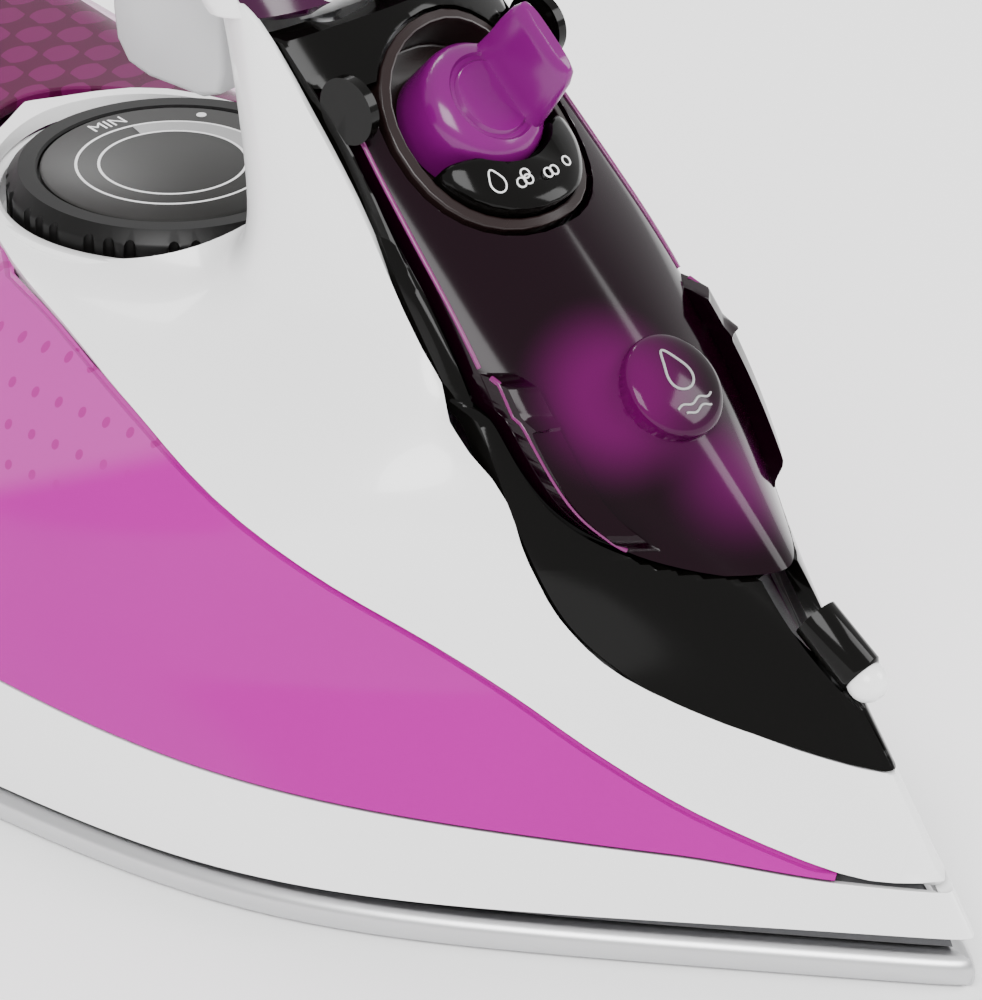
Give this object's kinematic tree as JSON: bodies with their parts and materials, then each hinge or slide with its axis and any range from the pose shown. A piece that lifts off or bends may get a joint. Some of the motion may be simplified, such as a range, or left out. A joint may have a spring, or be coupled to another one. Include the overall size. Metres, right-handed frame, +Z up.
{
  "type": "steam iron",
  "caption": "Steam iron with pointed soleplate, side water tank, hinged fill lid, steam lever, spray and steam buttons, heat dial and open handle",
  "frame": {"origin": "on the plane the soleplate stands on, under the middle of the bounding box", "axes": "+X towards the nose of the soleplate, +Y to the left side seen from behind, +Z up"},
  "size_m": [0.2774, 0.119, 0.1499],
  "materials": {
    "white_shell": "white gloss",
    "magenta_tank": "translucent magenta gloss",
    "dark_deck": "dark plum gloss",
    "sole_metal": "brushed",
    "cast_heater": "cast",
    "steel": "satin",
    "gloss_black": "black gloss",
    "lid_purple": "near-black purple gloss",
    "lever_magenta": "gloss",
    "pocket_brown": "satin",
    "frame_purple": "gloss",
    "light_grey": "satin",
    "dial_face": "printed",
    "rubber": "matte",
    "lens": "translucent red"
  },
  "bodies": {
    "body": {"soleplate": "sole_metal", "heater_block": "cast_heater", "heating_element": "steel", "chamber_cover": "steel", "skirt": "white_shell", "water_tank": "magenta_tank", "tank_floor": "white_shell", "main_shell": "white_shell", "rear_deck": "dark_deck", "front_cover": "gloss_black", "nozzle_barrel": "gloss_black", "nozzle_tip": "white_shell", "filler_neck": "white_shell", "lever_cup": "pocket_brown", "icon_plate": "gloss_black", "valve_seat": "steel", "handle_shell": "white_shell", "button_frame": "frame_purple", "handle_top": "gloss_black", "heel_column": "white_shell", "spray_pump": "white_shell", "spray_spring": "steel", "steam_pump": "white_shell", "steam_spring": "steel", "finger_guard": "light_grey", "thermostat": "cast_heater", "terminal_block": "white_shell", "heel_screw_left": "steel", "heel_screw_right": "steel", "heel_foot_left": "rubber", "heel_foot_right": "rubber", "indicator_lens": "lens"},
    "dial": {"dial_ring": "gloss_black", "dial_face": "dial_face", "dial_shaft": "steel"},
    "lever": {"steam_lever": "lever_magenta", "lever_shaft": "steel"},
    "valve": {"valve_rod": "steel"},
    "lid": {"fill_lid": "lid_purple", "lid_seal": "rubber", "lid_plug": "white_shell", "lid_pin_left": "steel", "lid_pin_right": "steel"},
    "spray": {"spray_button": "white_shell", "spray_piston": "rubber"},
    "steam": {"steam_button": "white_shell", "steam_piston": "rubber"},
    "gland": {"cord_gland": "gloss_black"}
  },
  "joints": [
    {"name": "dial_turn", "type": "hinge", "parent": "body", "child": "dial", "pos_m": [-0.0115, 0, 0.073], "axis": [0, 0, 1], "range_deg": [-140, 140]},
    {"name": "lever_turn", "type": "hinge", "parent": "body", "child": "lever", "pos_m": [0.04924, 0, 0.105], "axis": [0.681, 0, 0.7323], "range_deg": [-72, 0]},
    {"name": "valve_lift", "type": "slide", "parent": "body", "child": "valve", "axis": [0, 0, 1], "range_m": [0, 0.003]},
    {"name": "lid_open", "type": "hinge", "parent": "body", "child": "lid", "pos_m": [0.0419, 0, 0.1082], "axis": [0, -1, 0], "range_deg": [0, 55]},
    {"name": "spray_press", "type": "slide", "parent": "body", "child": "spray", "axis": [0, 0, -1], "range_m": [0, 0.004], "stiffness_N_per_m": 600, "springref_m": -0.001, "deforming": ["spray_spring"]},
    {"name": "steam_press", "type": "slide", "parent": "body", "child": "steam", "axis": [0, 0, -1], "range_m": [0, 0.004], "stiffness_N_per_m": 600, "springref_m": -0.001, "deforming": ["steam_spring"]},
    {"name": "gland_swing", "type": "hinge", "parent": "body", "child": "gland", "pos_m": [-0.126, 0, 0.1175], "axis": [-0.8601, 0, 0.5101], "range_deg": [-90, 90]}
  ],
  "couplings": [
    {"joint": "valve_lift", "follows": "lever_turn", "m_per_rad": -0.0023873}
  ]
}
